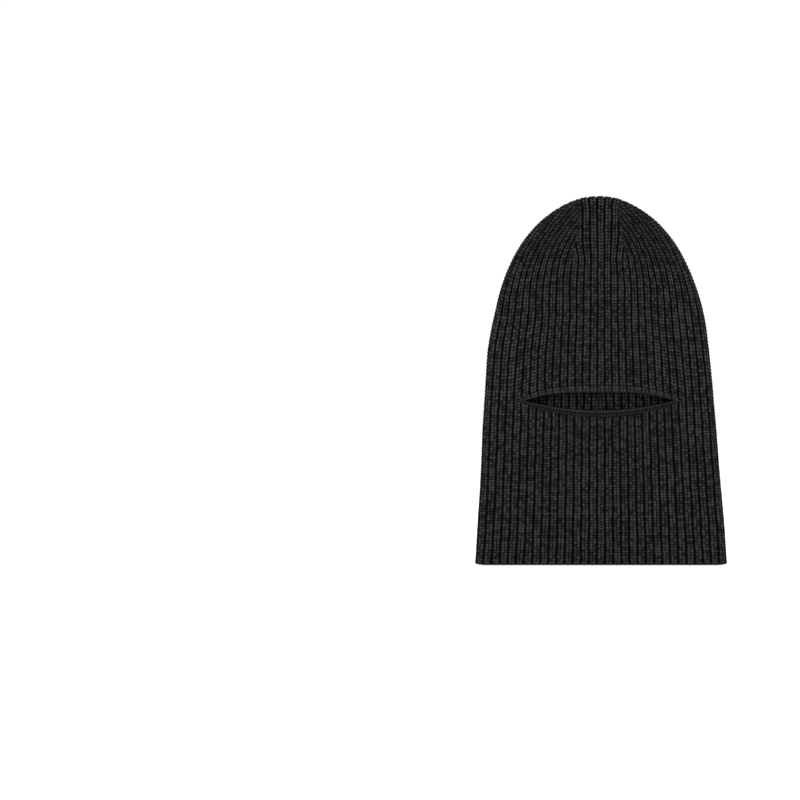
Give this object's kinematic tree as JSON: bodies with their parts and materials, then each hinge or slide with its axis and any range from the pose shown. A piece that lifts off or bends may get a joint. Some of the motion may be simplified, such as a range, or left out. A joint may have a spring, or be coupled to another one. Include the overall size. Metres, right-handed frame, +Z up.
{
  "type": "balaclava",
  "caption": "Chunky rib-knit balaclava with a single eye slot; the mask below the slot rolls up twice into a cuff, so it can be worn as a hat.",
  "frame": {"origin": "the inside of the crown's tip, on the centre line, where the balaclava rests on the top of the head", "axes": "+Z up from the hem to the crown's tip, -Y out of the face, +X to the wearer's left"},
  "size_m": [0.25, 0.0164, 0.369],
  "materials": {
    "rib_knit": "chunky one-by-one rib in matt charcoal-black acrylic yarn",
    "slot_band": "rolled and cast-on edges in the same charcoal yarn, smoother than the rib",
    "seam_yarn": "linked seams, tacks and the gathered tip in black yarn",
    "label_satin": "dark grey satin-woven label tape",
    "label_thread": "dull gold sewing thread"
  },
  "bodies": {
    "hood": {"crown_front_gore": "rib_knit", "crown_side_gore_left": "rib_knit", "crown_side_gore_right": "rib_knit", "crown_back_gore_left": "rib_knit", "crown_back_gore_right": "rib_knit", "crown_tip_gather": "seam_yarn", "dart_seam_front_left": "seam_yarn", "dart_seam_front_right": "seam_yarn", "dart_seam_back_left": "seam_yarn", "dart_seam_back_right": "seam_yarn", "hood_front": "rib_knit", "hood_back_left": "rib_knit", "hood_back_right": "rib_knit", "back_seam_hood": "seam_yarn", "slot_upper_band": "slot_band", "slot_corner_tack_left": "seam_yarn", "slot_corner_tack_right": "seam_yarn"},
    "mask_upper": {"mask_front_upper": "rib_knit", "slot_lower_band": "slot_band", "woven_label": "label_satin", "label_stitching": "label_thread"},
    "mask_lower": {"mask_front_lower": "rib_knit", "hem_edge_front": "slot_band"},
    "neck_upper": {"neck_back_upper_left": "rib_knit", "neck_back_upper_right": "rib_knit", "back_seam_upper": "seam_yarn"},
    "neck_lower": {"neck_back_lower_left": "rib_knit", "neck_back_lower_right": "rib_knit", "back_seam_lower": "seam_yarn", "hem_edge_back": "slot_band"}
  },
  "joints": [
    {"name": "mask_roll", "type": "hinge", "parent": "hood", "child": "mask_upper", "pos_m": [0, -0.01235, -0.2005], "axis": [-1, 0, 0], "range_deg": [0, 179]},
    {"name": "mask_fold", "type": "hinge", "parent": "mask_upper", "child": "mask_lower", "pos_m": [0, -0.00875, -0.2825], "axis": [-1, 0, 0], "range_deg": [0, 179]},
    {"name": "neck_roll", "type": "hinge", "parent": "hood", "child": "neck_upper", "pos_m": [0, 0.01235, -0.2005], "axis": [1, 0, 0], "range_deg": [0, 179]},
    {"name": "neck_fold", "type": "hinge", "parent": "neck_upper", "child": "neck_lower", "pos_m": [0, 0.00875, -0.2825], "axis": [1, 0, 0], "range_deg": [0, 179]}
  ],
  "couplings": [
    {"joint": "neck_roll", "follows": "mask_roll", "ratio": 1},
    {"joint": "neck_fold", "follows": "mask_fold", "ratio": 1}
  ]
}
